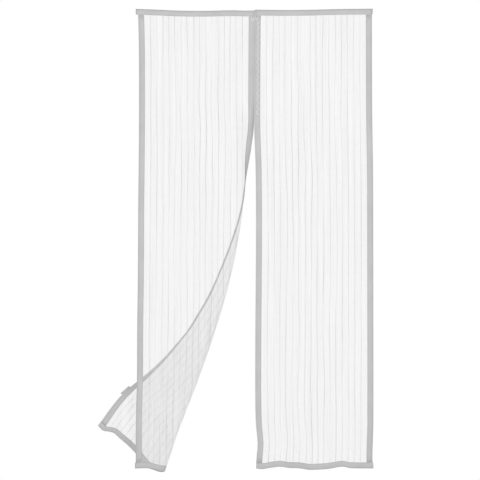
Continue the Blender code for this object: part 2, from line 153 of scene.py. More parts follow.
HEADER_SAG_FADE = 0.50
HEM_SAG_FADE = 0.30
FOLD = (
    (0.190, 0.845, 0.030, 0, 0),
    (0.248, 0.837, 0.030, 25, 18),
    (0.295, 0.837, 0.028, 62, 42),
    (0.381, 0.858, 0.027, 108, 17),
    (0.476, 0.846, 0.015, 138, 37),
    (0.595, 0.740, 0.022, 174, 74),
    (0.714, 0.572, 0.039, 180, 79),
    (0.786, 0.465, 0.044, 176, 79),
    (0.867, 0.358, 0.041, 174, 58),
    (0.933, 0.276, 0.028, 169, 24),
    (1.000, 0.200, 0.022, 165, 0),
)
RELAX_LENGTH = 0.020
SHUT_UNTIL = 0.42
SHUT_FADE = 0.20
RIPPLE_DEPTH = 0.004
RIPPLE_PITCH = 0.178
RIPPLE_LEAN = 0.9
RIPPLE_EDGE = 0.06
RIPPLE_TOP = 0.35
RIPPLE_FOLD = 0.02
WALK_STEP = 0.002
SLOPE_STEP = 0.004
ROUNDING = 1e-6

# The net: its edge inside the tapes, how deep each kind of yarn lies, how many points a
# yarn has along it, how far the yarns of a stripe are spread, and how far shades vary

NET_EDGE = 0.0016
NET_SIZE = (PANEL_WIDTH - 2 * NET_EDGE, PANEL_HEIGHT - 2 * NET_EDGE)
YARN_DEPTHS = {"Warp": -0.00008, "Weft": 0.00008, "Stripe": -0.00016}
YARN_POINTS = {
    "left": {"Warp": 96, "Weft": 64, "Stripe": 140},
    "right": {"Warp": 48, "Weft": 40, "Stripe": 48},
}
STRIPE_YARNS = 3
STRIPE_SPREAD = 2.0
YARN_SHADES = {"Warp": 0.15, "Weft": 0.15, "Stripe": 0.38}
THREAD_SHADES = 0.06

# Grain of the yarns' shades and of the stray, in turns of noise per metre along each axis

STREAKS = (90.0, 90.0, 1.8)
EVEN_GRAIN = (60.0, 60.0, 60.0)
STRAY_GRAIN = (14.0, 3.2, 0.0)
STRAY_NOISE = (1.0, 1.0)

# Section of a folded tape: its seams, the grooves that they pull and the lips beside
# them, which rise by a share of the crown. It is fullest between two shares of its width.
# The fold's curve is (inward, share of the wall's depth), and the tab's edge is (inward,
# share of half its thickness).

INNER_SEAM = 0.0022
OUTER_SEAM = 0.0030
SEAM_GROOVE = 0.00025
SEAM_BITE = 0.0001
INNER_LIP = 0.0010
OUTER_LIP = 0.0012
LIP_RISES = (0.5, 0.6, 0.3)
ROUND_EDGE = 0.0003
RAW_EDGE = 0.0002
FULLEST = (0.6, 0.35)
FOLD_CURVE = ((0.0006, 0.8), (0.0001, 0.4))
FOLD_TIP = -0.0001
POCKET_EASE = 0.003
TAB_EDGE = ((0.0, 0.0), (0.0004, 1.0), (0.0016, 1.15), (0.0028, 1.0))
TAB_BULGE = 1.3

# Distances between the stations that the flat pieces are bent at

TAPE_STEP = 0.03
HEADER_STEP = 0.02
FOLDED_STEP = 0.012
HEM_STEP = 0.006
TAB_STEP = 0.002

# Painted shade and light on a tape: how far the painted shade of its rolled fold reaches and fades,
# then (place, shade) to its sewn edge, with painted light over the middle and painted shade at the
# sewn edge, how much darker the painted fold shade is on a header, and the pitch of its crossing
# yarns

FOLD_REACH = 0.6
FOLD_FADE = 0.97
TAPE_PAINTED_SHADING = ((0.42, 1.0), (0.62, 1.03), (0.90, 1.0), (1.0, 0.86))
HEADER_PAINTED_FOLD_SHADE = 0.76
CROSS_PITCH = 0.0009

# Looks: what is the same all over a material, how rough it is at both ends of its noise or
# its ribs, the noise as (turns per metre, detail), and the span of it that shades run over

YARN_LOOKS = {"Specular IOR Level": 0.3}
YARN_ROUGHNESS = (0.55, 0.8)
YARN_NOISE = (1.0, 3.0)
YARN_SPAN = (0.25, 0.75)
TAPE_LOOKS = {"Specular IOR Level": 0.25, "Sheen Weight": 0.12, "Sheen Roughness": 0.5}
TAPE_ROUGHNESS = (0.85, 0.7)
TAPE_NOISE = (9.0, 4.0)
TAPE_SPAN = (0.3, 0.7)
CLOUD_SHADES = (0.95, 1.04)
RIB_SHADES = (0.93, 1.03)
WEAVE_BUMP = {"Strength": 0.35, "Distance": 0.0002}
LOOP_PILE = {"colour": (0.62, 0.62, 0.62), "pitch": 0.0007, "depth": 0.0004, "roughness": 0.95}
HOOK_BACK = {"colour": (0.70, 0.70, 0.70), "pitch": 0.0016, "depth": 0.0001, "roughness": 0.55}
DOT_SHADES = ((0.0, 1.12), (0.9, 0.78))
DOT_STRENGTH = 0.6
NICKEL_SHADES = ((0.3, (0.52, 0.51, 0.50)), (0.7, (0.66, 0.65, 0.64)))
NICKEL_ROUGHNESS = (0.25, 0.5)
NICKEL_NOISE = (400.0, 5.0)
FLOOR_LOOKS = {"Roughness": 0.9, "Specular IOR Level": 0.0}
FLOOR_NOISE = (3.0, 2.0)
FLOOR_SHADES = ((0.0, (0.93, 0.93, 0.93)), (1.0, (0.95, 0.95, 0.95)))

# Magnets of one meeting edge: how far the outer two are from the header's top edge and
# from the hem, and how many rows of points let a bar follow the cloth

MAGNET_COUNT = 9
MAGNET_LENGTH = 0.020
MAGNET_BELOW_TOP = 0.10
MAGNET_ABOVE_HEM = 0.08
MAGNET_BENDS = 6

# Stitches lean a little along their line. The pale thread on the meeting tapes is one V
# that tacks each of them to its header, and a long loose zigzag down the right one. Both
# lie on the face of the pocket.

STITCH_LEAN = 0.06
THREAD_SHAPE = {"Segments": 6, "Rings": 4, "Radius": 0.5}
THREAD_FLATNESS = 0.7
TACK_INWARD = 0.009
TACK_ACROSS = 0.008
TACK_DROP = 0.026
ZIGZAG_INWARD = 0.0155
ZIGZAG_ACROSS = 0.016
ZIGZAG_DEPTH = 0.0024

# The surface that the flat pieces are hung on reaches past the panel on every side. Its
# steps are (across, down), and the folded panel has finer ones.

SURFACE_SIDE = 0.016
SURFACE_INNER = 0.020
SURFACE_END = 0.006
SURFACE_SIZE = (PANEL_WIDTH + SURFACE_SIDE + SURFACE_INNER, PANEL_HEIGHT + 2 * SURFACE_END, 1.0)
SURFACE_STEPS = {"left": (0.004, 0.008), "right": (0.008, 0.014)}

# The stage: what the camera looks at and how wide it sees there, the floor's reach, between
# which distances it fades to plain white and how white the camera sees it before that, and
# the lamps as (name, place, share of the power)

SCREEN_MIDDLE = (-0.0651, 0.0, -1.0372)
VIEW_WIDTH = 2.193
SENSOR_WIDTH = 36.0
FLOOR_HALF = 4.0
FLOOR_FADE = (2.18, 2.25)
FLOOR_SEEN = 0.85
LAMP_SIZE = (1.8, 2.4)
LAMPS = (("key_lamp", (-1.3, -4.2, -0.3), 1.0), ("fill_lamp", (1.3, -4.2, -0.3), 0.9))
WHITE = (1.0, 1.0, 1.0, 1.0)


def length_of(name, description, default, least=0.0):
    """A length that a user may change."""
    return FloatProperty(
        name=name, description=description, default=default, min=least, unit="LENGTH"
    )


def colour_of(name, description, default):
    """A colour that a user may change."""
    return FloatVectorProperty(
        name=name, description=description, default=default,
        min=0.0, max=1.0, subtype="COLOR", size=3,
    )


class NetSettings(bpy.types.PropertyGroup):
    """The yarns of the net."""

    warp_pitch: length_of("Warp pitch", "From one upright yarn to the next", 0.0016, 0.0008)
    warp_width: length_of("Warp width", "Width of an upright yarn", 0.00031, 0.0001)
    weft_pitch: length_of("Weft pitch", "From one level yarn to the next", 0.0022, 0.0010)
    weft_width: length_of("Weft width", "Width of a level yarn", 0.00038, 0.0001)
    stripes: IntProperty(
        name="Stripes", description="Dense stripes between the side tapes of a panel",
        default=16, min=0,
    )
    stripe_yarn: length_of("Stripe yarn", "Width of one yarn of a stripe", 0.00052, 0.0001)
    stray: length_of("Stray", "How far the yarns bunch up and wander", 0.022)
    warp_colour: colour_of("Warp colour", "Upright yarns, on the front", (0.79, 0.79, 0.795))
    weft_colour: colour_of("Weft colour", "Level yarns, on the back", (0.68, 0.68, 0.685))
    stripe_colour: colour_of("Stripe colour", "Yarns of the dense stripes", (0.60, 0.60, 0.605))


class TapeSettings(bpy.types.PropertyGroup):
    """The woven binding tape."""

    colour: colour_of("Tape colour", "Colour of the tape between its edges", (0.585, 0.585, 0.59))
    # The fold colour and its band are painted shade along the tape's rolled fold, not a colour of
    # the tape itself.
    painted_fold_colour: colour_of("Painted fold shade", "Painted shade along the tape's fold", (0.47, 0.47, 0.475))
    edge_width: length_of("Fold width", "Width of the darker band along the fold", 0.0030)
    rib_pitch: length_of("Rib pitch", "From one rib of the weave to the next", 0.0012, 0.0004)
    crown: length_of("Crown", "How far the middle of a wall stands proud", 0.0005)


class StitchSettings(bpy.types.PropertyGroup):
    """The lines of stitches."""

    length: length_of("Stitch length", "Length of one stitch", 0.0030, 0.001)
    pitch: length_of("Stitch pitch", "From one stitch to the next", 0.0038, 0.001)
    thickness: length_of("Thread thickness", "Thickness of the sewing thread", 0.00045, 0.0001)
    colour: colour_of("Thread colour", "Colour of the sewing thread", (0.66, 0.66, 0.665))
    zigzag_length: length_of("Zigzag length", "How far it runs down the right panel", 0.44, 0.01)
    zigzag_pitch: length_of("Zigzag pitch", "From one turn to the next but one", 0.029, 0.002)
    zigzag_thickness: length_of("Zigzag thickness", "Of its bundle of threads", 0.0025, 0.0002)
    zigzag_colour: colour_of("Zigzag colour", "Pale tack and zigzag", (0.95, 0.95, 0.95))


class StageSettings(bpy.types.PropertyGroup):
    """Floor, camera and lights."""

    distance: length_of("Camera distance", "From the camera to the screen", 30.0, 2.0)
    floor_drop: length_of("Floor drop", "From the lowest hem down to the floor", 0.06)
    ambient: FloatProperty(
        name="Ambient light", description="Strength of the even light from all round",
        default=0.70, min=0.0,
    )
    key_power: FloatProperty(
        name="Key power", description="Power of the stronger of the two front lamps",
        default=30.0, min=0.0, unit="POWER",
    )


def smoothstep(share):
    """Ease from 0 to 1 as the share goes from 0 to 1."""
    share = min(max(share, 0.0), 1.0)
    return share * share * (3.0 - 2.0 * share)


def curve_at(rows, at, column=1):
    """Read a smooth curve through the rows of a table at one place."""
    places = [row[0] for row in rows]
    values = [row[column] for row in rows]
    at = min(max(at, places[0]), places[-1])
    last = len(rows) - 1
    low = max(i for i in range(last) if places[i] <= at)
    high = low + 1

    def slope(i):
        before = max(i - 1, 0)
        after = min(i + 1, last)
        return (values[after] - values[before]) / (places[after] - places[before])

    span = places[high] - places[low]
    s = (at - places[low]) / span
    start = values[low] * (2 * s**3 - 3 * s**2 + 1) + slope(low) * span * (s**3 - 2 * s**2 + s)
    end = values[high] * (3 * s**2 - 2 * s**3) + slope(high) * span * (s**3 - s**2)
    return start + end


def sag_at(header_sag, hem_sag, u, w):
    """How far the cloth at (u, w) hangs below its flat place."""
    across = u / PANEL_WIDTH
    from_top = 1.0 - smoothstep((w - HEADER_SAG_START) / HEADER_SAG_FADE)
    from_hem = smoothstep((w - PANEL_HEIGHT + HEM_SAG_FADE) / HEM_SAG_FADE)
    return curve_at(header_sag, across) * from_top + curve_at(hem_sag, across) * from_hem


def ripple_at(u, w):
    """Depth of the slack ripples at (u, w)."""
    edge = smoothstep(u / RIPPLE_EDGE - 0.5) * smoothstep((PANEL_WIDTH - u) / RIPPLE_EDGE - 0.5)
    top = smoothstep(w / RIPPLE_TOP)
    wave = math.sin(2.0 * math.pi * u / RIPPLE_PITCH + RIPPLE_LEAN * w)
    return RIPPLE_DEPTH * wave * edge * top


def meeting_x(w):
    """Where the two panels meet, at the height w."""
    return MEETING_X + curve_at(MEETING_DRIFT, w / PANEL_HEIGHT)


def header_top_z():
    """Height of the level line that the header sags below."""
    return HEADER_HEIGHT / 2 + (LEFT_HEADER_SAG[-1][1] + RIGHT_HEADER_SAG[0][1]) / 2


def left_side_x(w):
    """Outer edge of the left panel at the height w."""
    return MEETING_X - PANEL_WIDTH + curve_at(LEFT_SIDE_DRIFT, w / PANEL_HEIGHT)


def right_side_x(w):
    """Outer edge of the right panel at the height w."""
    return MEETING_X + PANEL_WIDTH + curve_at(RIGHT_SIDE_DRIFT, w / PANEL_HEIGHT)


def width_kept(w):
    """Share of the left panel's width that is left where it meets the right one."""
    shut = (meeting_x(w) - MEETING_GAP / 2 - left_side_x(w)) / PANEL_WIDTH
    return shut + (1.0 - shut) * smoothstep((w - SHUT_UNTIL) / SHUT_FADE)


def fold_tilt(w):
    """Angle of the fold line from the vertical, leaning left on its way down."""

    def fold_x(height):
        start = curve_at(FOLD, height / PANEL_HEIGHT) * PANEL_WIDTH
        return left_side_x(height) + start * width_kept(height)

    below = min(w + SLOPE_STEP, PANEL_HEIGHT)
    above = max(w - SLOPE_STEP, 0.0)
    if above >= below:  # just past the header
        above = below - SLOPE_STEP
    return math.atan2(fold_x(above) - fold_x(below), below - above)


def walk_round_fold(w):
    """Sideways, up and back travel past the fold line, for each step along the row."""
    share = w / PANEL_HEIGHT
    start = curve_at(FOLD, share, 1) * PANEL_WIDTH
    radius = curve_at(FOLD, share, 2)
    turn = math.radians(curve_at(FOLD, share, 3))
    relax = math.radians(curve_at(FOLD, share, 4))
    tilt = fold_tilt(w)
    relax_start = PANEL_WIDTH - TAPE_WIDTH - RELAX_LENGTH
    steps = math.ceil((PANEL_WIDTH - start) / WALK_STEP)
    stride = (PANEL_WIDTH - start) / steps

    across = 0.0
    back = 0.0
    travel = [(0.0, 0.0, 0.0)]
    for i in range(steps):
        along = (i + 0.5) * stride
        heading = min(along * math.cos(tilt) / radius, turn)
        heading -= relax * smoothstep((start + along - relax_start) / RELAX_LENGTH)
        across += math.cos(heading) * stride * math.cos(tilt)
        back += math.sin(heading) * stride * math.cos(tilt)
        done = (i + 1) * stride
        x = math.cos(tilt) * across + math.sin(tilt) ** 2 * done
        z = math.sin(tilt) * (math.cos(tilt) * done - across)
        travel.append((x, z, back))
    return start, stride, travel


def left_row(w):
    """Return a function that gives the place of each u along the left row at height w."""
    start, stride, travel = walk_round_fold(w)
    kept = width_kept(w)
    side = left_side_x(w)
    top = header_top_z()

    def place(u):
        beyond = max(u - start, 0.0)
        step = beyond / stride
        low = min(int(step), len(travel) - 2)
        part = step - low
        move = [a + (b - a) * part for a, b in zip(travel[low], travel[low + 1])]
        x = side + (min(u, start) + move[0]) * kept
        z = top - w - sag_at(LEFT_HEADER_SAG, LEFT_HEM_SAG, u, w) + move[1]
        flatness = 1.0 - smoothstep(beyond / RIPPLE_FOLD)
        return Vector((x, PANEL_Y + move[2] + ripple_at(u, w) * flatness, z))

    return place


def right_row(w):
    """Return a function that gives the place of each u along the right row at height w."""
    outer = right_side_x(w)
    inner = meeting_x(w) + MEETING_GAP / 2
    top = header_top_z()

    def place(u):
        across = u / PANEL_WIDTH
        sag = sag_at(RIGHT_HEADER_SAG, RIGHT_HEM_SAG, PANEL_WIDTH - u, w)
        return Vector((outer + (inner - outer) * across, PANEL_Y + ripple_at(u, w), top - w - sag))

    return place


def even_stations(first, last, step):
    """Evenly spaced stations from first to last, no further apart than the step."""
    count = max(math.ceil((last - first) / step - ROUNDING), 1)
    return [first + (last - first) * i / count for i in range(count + 1)]


def make_surface(side):
    """The hanging surface of one panel, which knows its flat place and its back."""
    row, back_sign = (left_row, 1.0) if side == "left" else (right_row, -1.0)
    step_across, step_down = SURFACE_STEPS[side]
    across = even_stations(-SURFACE_SIDE, PANEL_WIDTH + SURFACE_INNER, step_across)
    down = even_stations(-SURFACE_END, PANEL_HEIGHT + SURFACE_END, step_down)
    points = []
    for w in down:
        place = row(w)
        points.append([place(u) for u in across])
    backs = []
    for j in range(len(down)):
        above = points[max(j - 1, 0)]
        below = points[min(j + 1, len(down) - 1)]
        for i in range(len(across)):
            over = points[j][min(i + 1, len(across) - 1)] - points[j][max(i - 1, 0)]
            backs.append(over.cross(below[i] - above[i]).normalized() * back_sign)
    width = len(across)
    faces = []
    for j in range(len(down) - 1):
        for i in range(width - 1):
            corner = j * width + i
            faces.append((corner, corner + 1, corner + width + 1, corner + width))
    mesh = bpy.data.meshes.new(side + "_surface")
    mesh.from_pydata([point for line in points for point in line], [], faces)
    flat = mesh.attributes.new("flat", "FLOAT_VECTOR", "POINT")
    back = mesh.attributes.new("back", "FLOAT_VECTOR", "POINT")
    places = [(u, w) for w in down for u in across]
    for index, (u, w) in enumerate(places):
        flat.data[index].vector = (
            (u + SURFACE_SIDE) / SURFACE_SIZE[0], (w + SURFACE_END) / SURFACE_SIZE[1], 0.0
        )
        back.data[index].vector = backs[index]
    return new_piece(side + "_surface", mesh)


def put(tree, kind, wires=None, **settings):
    """Add a node, set it up, and wire or fill its sockets."""
    node = tree.nodes.new(kind)
    for key, value in settings.items():
        setattr(node, key, value)
    for key, value in (wires or {}).items():
        socket = node.inputs[key]
        if isinstance(value, bpy.types.NodeSocket):
            tree.links.new(value, socket)
        else:
            socket.default_value = value
    return node


def number(tree, operation, first, second=0.0):
    """A node that works out one number from two numbers or sockets."""
    return put(tree, "ShaderNodeMath", {0: first, 1: second}, operation=operation).outputs[0]


def vector(tree, operation, first, second):
    """A node that works out one vector from two vectors or sockets."""
    return put(tree, "ShaderNodeVectorMath", {0: first, 1: second}, operation=operation).outputs[0]


def vector_scaled(tree, first, factor):
    """A node that scales a vector or a colour."""
    wires = {0: first, "Scale": factor}
    return put(tree, "ShaderNodeVectorMath", wires, operation="SCALE").outputs[0]


def start_tree(name, sockets):
    """A geometry tree with named inputs. Returns it and its input and output nodes."""
    tree = bpy.data.node_groups.new(name, "GeometryNodeTree")
    tree.interface.new_socket("Geometry", in_out="OUTPUT", socket_type="NodeSocketGeometry")
    tree.interface.new_socket("Geometry", in_out="INPUT", socket_type="NodeSocketGeometry")
    for label, kind in sockets.items():
        tree.interface.new_socket(label, in_out="INPUT", socket_type="NodeSocket" + kind)
    return tree, tree.nodes.new("NodeGroupInput").outputs, tree.nodes.new("NodeGroupOutput")


def end_tree(tree, sink, geometry, material, smooth=True):
    """End a tree with its shading and its material."""
    if smooth:
        geometry = put(tree, "GeometryNodeSetShadeSmooth", {"Geometry": geometry}).outputs[0]
    painted = put(tree, "GeometryNodeSetMaterial", {"Geometry": geometry, "Material": material})
    tree.links.new(painted.outputs[0], sink.inputs[0])
    return tree


def stray_flat(tree, geometry, stray):
    """Nodes that let flat yarns wander sideways, least beside the side tapes."""
    place = put(tree, "GeometryNodeInputPosition").outputs[0]
    grain = vector(tree, "MULTIPLY", place, STRAY_GRAIN)
    centred = number(tree, "SUBTRACT", noise_of(tree, grain, *STRAY_NOISE), 0.5)
    across = put(tree, "ShaderNodeSeparateXYZ", {0: place}).outputs["X"]
    room = number(tree, "SINE", number(tree, "MULTIPLY", across, math.pi / PANEL_WIDTH))
    shift = number(tree, "MULTIPLY", number(tree, "MULTIPLY", centred, room), stray)
    offset = vector_of(tree, X=shift)
    return put(tree, "GeometryNodeSetPosition", {"Geometry": geometry, "Offset": offset}).outputs[0]


def hang_flat(tree, geometry, surface):
    """Nodes that move flat geometry to the surface that knows its flat place and its back."""
    flat = put(tree, "GeometryNodeInputPosition").outputs[0]
    depth = put(tree, "ShaderNodeSeparateXYZ", {0: flat}).outputs["Z"]
    from_corner = vector(tree, "ADD", flat, (SURFACE_SIDE, SURFACE_END, 0.0))
    share = vector(tree, "DIVIDE", from_corner, SURFACE_SIZE)
    mesh = put(tree, "GeometryNodeObjectInfo", {"Object": surface}).outputs["Geometry"]
    known = put(tree, "GeometryNodeInputNamedAttribute", {"Name": "flat"}, data_type="FLOAT_VECTOR")
    back = put(tree, "GeometryNodeInputNamedAttribute", {"Name": "back"}, data_type="FLOAT_VECTOR")
    there = put(tree, "GeometryNodeInputPosition")
    found = []
    for value in (there.outputs[0], back.outputs["Attribute"]):
        sample = put(tree, "GeometryNodeSampleUVSurface", {
            "Mesh": mesh, "Value": value, "UV Map": known.outputs["Attribute"], "Sample UV": share,
        }, data_type="FLOAT_VECTOR")
        found.append(sample.outputs[0])
    spot = vector(tree, "ADD", found[0], vector_scaled(tree, found[1], depth))
    return put(tree, "GeometryNodeSetPosition", {"Geometry": geometry, "Position": spot}).outputs[0]


def repeat_on_line(tree, shape, count, start, step):
    """Nodes that set one flat shape on a line of points and make the copies real."""
    spots = {"Count": count, "Start Location": start, "Offset": step}
    line = put(tree, "GeometryNodeMeshLine", spots).outputs[0]
    copies = put(tree, "GeometryNodeInstanceOnPoints", {"Points": line, "Instance": shape})
    return put(tree, "GeometryNodeRealizeInstances", {"Geometry": copies.outputs[0]}).outputs[0]


def vector_of(tree, **axes):
    """A node that joins numbers or sockets to one vector."""
    return put(tree, "ShaderNodeCombineXYZ", axes).outputs[0]


def net_tree():
    """The tree that lays warp, weft and stripes flat, and hangs them."""
    kinds = {"Surface": "Object", "Stray": "Float"}
    for yarn in ("Warp", "Weft", "Stripe"):
        kinds |= {f"{yarn} {name}": kind for name, kind in (
            ("count", "Int"), ("first", "Float"), ("pitch", "Float"), ("width", "Float"),
            ("middle", "Float"), ("length", "Float"), ("bends", "Int"), ("material", "Material"),
        )}
    tree, given, sink = start_tree("hang net", kinds)
    joined = put(tree, "GeometryNodeJoinGeometry")
    painted = []
    for yarn, depth in YARN_DEPTHS.items():
        lies = ("X", "Y") if yarn == "Weft" else ("Y", "X")
        ribbon = put(tree, "GeometryNodeMeshGrid", {
            "Size " + lies[0]: given[yarn + " length"], "Size " + lies[1]: given[yarn + " width"],
            "Vertices " + lies[0]: given[yarn + " bends"], "Vertices " + lies[1]: 2,
        }).outputs[0]
        axes = {lies[0]: given[yarn + " middle"], lies[1]: given[yarn + " first"], "Z": depth}
        step = vector_of(tree, **{lies[1]: given[yarn + " pitch"]})
        yarns = repeat_on_line(tree, ribbon, given[yarn + " count"], vector_of(tree, **axes), step)
        if yarn == "Stripe":
            yarns = three_abreast(tree, yarns, given["Stripe width"])
        hung = hang_flat(tree, stray_flat(tree, yarns, given["Stray"]), given["Surface"])
        painted.append(put(tree, "GeometryNodeSetMaterial", {
            "Geometry": hung, "Material": given[yarn + " material"],
        }))
    for layer in painted:
        tree.links.new(layer.outputs[0], joined.inputs[0])
    tree.links.new(joined.outputs[0], sink.inputs[0])
    return tree


def three_abreast(tree, yarns, width):
    """Nodes that set three like yarns side by side."""
    pitch = number(tree, "MULTIPLY", width, STRIPE_SPREAD)
    start = vector_of(tree, X=number(tree, "MULTIPLY", pitch, -1.0))
    return repeat_on_line(tree, yarns, STRIPE_YARNS, start, vector_of(tree, X=pitch))


def stitch_tree():
    """The tree that lays one line of stitches flat, and hangs it."""
    kinds = {
        "Surface": "Object", "Count": "Int", "Start": "Vector", "Step": "Vector",
        "Length": "Float", "Thickness": "Float", "Slant": "Float", "Material": "Material",
    }
    tree, given, sink = start_tree("hang stitches", kinds)
    ball = put(tree, "GeometryNodeMeshUVSphere", THREAD_SHAPE).outputs[0]
    height = number(tree, "MULTIPLY", given["Thickness"], THREAD_FLATNESS)
    size = vector_of(tree, X=given["Length"], Y=given["Thickness"], Z=height)
    turn = vector_of(tree, Z=given["Slant"])
    thread = put(tree, "GeometryNodeTransform", {"Geometry": ball, "Scale": size, "Rotation": turn})
    row = repeat_on_line(tree, thread.outputs[0], given["Count"], given["Start"], given["Step"])
    return end_tree(tree, sink, hang_flat(tree, row, given["Surface"]), given["Material"])


def magnet_tree():
    """The tree that sets flat bars along a line, and hangs them."""
    kinds = {
        "Surface": "Object", "Count": "Int", "Start": "Vector", "Step": "Vector",
        "Size": "Vector", "Material": "Material",
    }
    tree, given, sink = start_tree("hang magnets", kinds)
    shape = {"Size": given["Size"], "Vertices Y": MAGNET_BENDS}
    bar = put(tree, "GeometryNodeMeshCube", shape).outputs[0]
    row = repeat_on_line(tree, bar, given["Count"], given["Start"], given["Step"])
    hung = hang_flat(tree, row, given["Surface"])
    return end_tree(tree, sink, hung, given["Material"], smooth=False)


def cloth_tree():
    """The tree that hangs a piece whose flat mesh is already made."""
    tree, given, sink = start_tree("hang cloth", {"Surface": "Object", "Material": "Material"})
    hung = hang_flat(tree, given["Geometry"], given["Surface"])
    return end_tree(tree, sink, hung, given["Material"])


def new_piece(name, data=None):
    """A new object at the origin, for a mesh, a lamp or a camera."""
    piece = bpy.data.objects.new(name, data or bpy.data.meshes.new(name))
    bpy.context.scene.collection.objects.link(piece)
    return piece


def run_tree(name, flat_mesh, tree, values):
    """Run a tree on a flat mesh, and return the hung mesh."""
    helper = new_piece(name + "_flat", flat_mesh)
    modifier = helper.modifiers.new("hang", "NODES")
    modifier.node_group = tree
    for item in tree.interface.items_tree:
        if item.in_out == "INPUT" and item.name in values:
            modifier[item.identifier] = values[item.name]
    seen = helper.evaluated_get(bpy.context.evaluated_depsgraph_get())
    mesh = bpy.data.meshes.new_from_object(seen)
    bpy.data.objects.remove(helper)
    mesh.name = name
    if not mesh.polygons:
        raise RuntimeError(f"{name} came out empty")
    return mesh


def mesh_from(shape, mesh):
    """Write a shape to a mesh and let the shape go."""
    shape.to_mesh(mesh)
    shape.free()
    return mesh


def join_meshes(name, meshes):
    """One piece from several meshes, whose material slots are kept apart."""
    whole = bmesh.new()
    materials = []
    for mesh in meshes:
        first = len(whole.faces)
        whole.from_mesh(mesh)
        whole.faces.ensure_lookup_table()
        for face in whole.faces[first:]:
            material = mesh.materials[face.material_index]
            if material not in materials:
                materials.append(material)
            face.material_index = materials.index(material)
    joined = mesh_from(whole, bpy.data.meshes.new(name))
    for material in materials:
        joined.materials.append(material)
    return new_piece(name, joined)


def new_material(name, looks):
    """A new material with its looks set, its tree, and the place on the piece."""
    material = bpy.data.materials.new(name)
    material.use_nodes = True
    tree = material.node_tree
    for socket, value in looks.items():
        tree.nodes["Principled BSDF"].inputs[socket].default_value = value
    return material, tree, put(tree, "ShaderNodeTexCoord").outputs["Object"]


def wire_up(material, wires):
    """Wire sockets to the material's main shader, and return the material."""
    tree = material.node_tree
    for socket, value in wires.items():
        tree.links.new(value, tree.nodes["Principled BSDF"].inputs[socket])
    return material


def noise_of(tree, place, scale, detail):
    """A node that gives soft noise from 0 to 1 at a place."""
    wires = {"Vector": place, "Scale": scale, "Detail": detail}
    return put(tree, "ShaderNodeTexNoise", wires).outputs["Fac"]


def range_of(tree, value, ends, span=(0.0, 1.0)):
    """A node that maps a value within a span to one between two ends."""
    wires = {0: value, 1: span[0], 2: span[1], 3: ends[0], 4: ends[1]}
    return put(tree, "ShaderNodeMapRange", wires).outputs[0]


def ramp_of(tree, factor, stops):
    """A colour ramp node with the given (place, colour) stops."""
    ramp = put(tree, "ShaderNodeValToRGB", {"Fac": factor})
    ramp.color_ramp.elements.remove(ramp.color_ramp.elements[1])
    for index, (place, colour) in enumerate(stops):
        element = ramp.color_ramp.elements[0] if index == 0 else ramp.color_ramp.elements.new(place)
        element.position = place
        element.color = (*colour, 1.0)
    return ramp.outputs["Color"]


def scaled(colour, factor):
    """A colour made lighter or darker."""
    return tuple(min(channel * factor, 1.0) for channel in colour)


def yarn_material(name, colour, spread, grain):
    """Yarn whose shade varies from place to place, in streaks where the grain is drawn out."""
    material, tree, place = new_material(name, YARN_LOOKS)
    noise = noise_of(tree, vector(tree, "MULTIPLY", place, grain), *YARN_NOISE)
    shades = (scaled(colour, 1.0 - spread), scaled(colour, 1.0 + spread))
    return wire_up(material, {
        "Base Color": ramp_of(tree, noise, tuple(zip(YARN_SPAN, shades))),
        "Roughness": range_of(tree, noise, YARN_ROUGHNESS),
    })


def tape_material(name, settings, width, painted_fold_shade):
    """Ribbed woven tape, darker along its fold and its sewn edge and lighter over its middle as
    painted shade and light, laid out along its own flat map.
    """
    material, tree, place = new_material(name, TAPE_LOOKS)
    flat = put(tree, "ShaderNodeUVMap", uv_map="flat_map").outputs[0]
    axes = put(tree, "ShaderNodeSeparateXYZ", {0: flat}).outputs
    rib, crossing = (
        number(tree, "SINE", number(tree, "MULTIPLY", axes[axis], 2.0 * math.pi / pitch))
        for axis, pitch in (("Y", settings.rib_pitch), ("X", CROSS_PITCH))
    )
    edge = settings.edge_width / width
    plain = tuple(settings.colour)
    # Painted shade along the fold that fades out, then painted light a little over the middle and
    # painted shade towards the sewn edge.
    stops = [(0.0, painted_fold_shade), (edge * FOLD_REACH, painted_fold_shade), (edge, scaled(plain, FOLD_FADE))]
    stops += [(at, scaled(plain, shade)) for at, shade in TAPE_PAINTED_SHADING]
    colour = ramp_of(tree, number(tree, "DIVIDE", axes["X"], width), stops)
    clouds = range_of(tree, noise_of(tree, place, *TAPE_NOISE), CLOUD_SHADES, TAPE_SPAN)
    tone = number(tree, "MULTIPLY", clouds, range_of(tree, rib, RIB_SHADES, (-1.0, 1.0)))
    weave = {"Height": number(tree, "ADD", rib, crossing)} | WEAVE_BUMP
    return wire_up(material, {
        "Base Color": vector_scaled(tree, colour, tone),
        "Roughness": range_of(tree, rib, TAPE_ROUGHNESS, (-1.0, 1.0)),
        "Normal": put(tree, "ShaderNodeBump", weave).outputs[0],
    })


def strip_material(name, colour, pitch, depth, roughness):
    """A strip set all over with small raised dots, for loop pile or the backs of hooks."""
    material, tree, place = new_material(name, {"Roughness": roughness})
    spread = {"Vector": place, "Scale": 1.0 / pitch}
    dots = put(tree, "ShaderNodeTexVoronoi", spread).outputs["Distance"]
    stops = [(at, scaled(colour, shade)) for at, shade in DOT_SHADES]
    raised = {"Height": dots, "Strength": DOT_STRENGTH, "Distance": depth}
    return wire_up(material, {
        "Base Color": ramp_of(tree, dots, stops),
        "Normal": put(tree, "ShaderNodeBump", raised, invert=True).outputs[0],
    })


def magnet_material():
    """Dull nickel plating with fine scuffs."""
    material, tree, place = new_material("nickel_plate", {"Metallic": 1.0})
    noise = noise_of(tree, place, *NICKEL_NOISE)
    return wire_up(material, {
        "Base Color": ramp_of(tree, noise, NICKEL_SHADES),
        "Roughness": range_of(tree, noise, NICKEL_ROUGHNESS),
    })


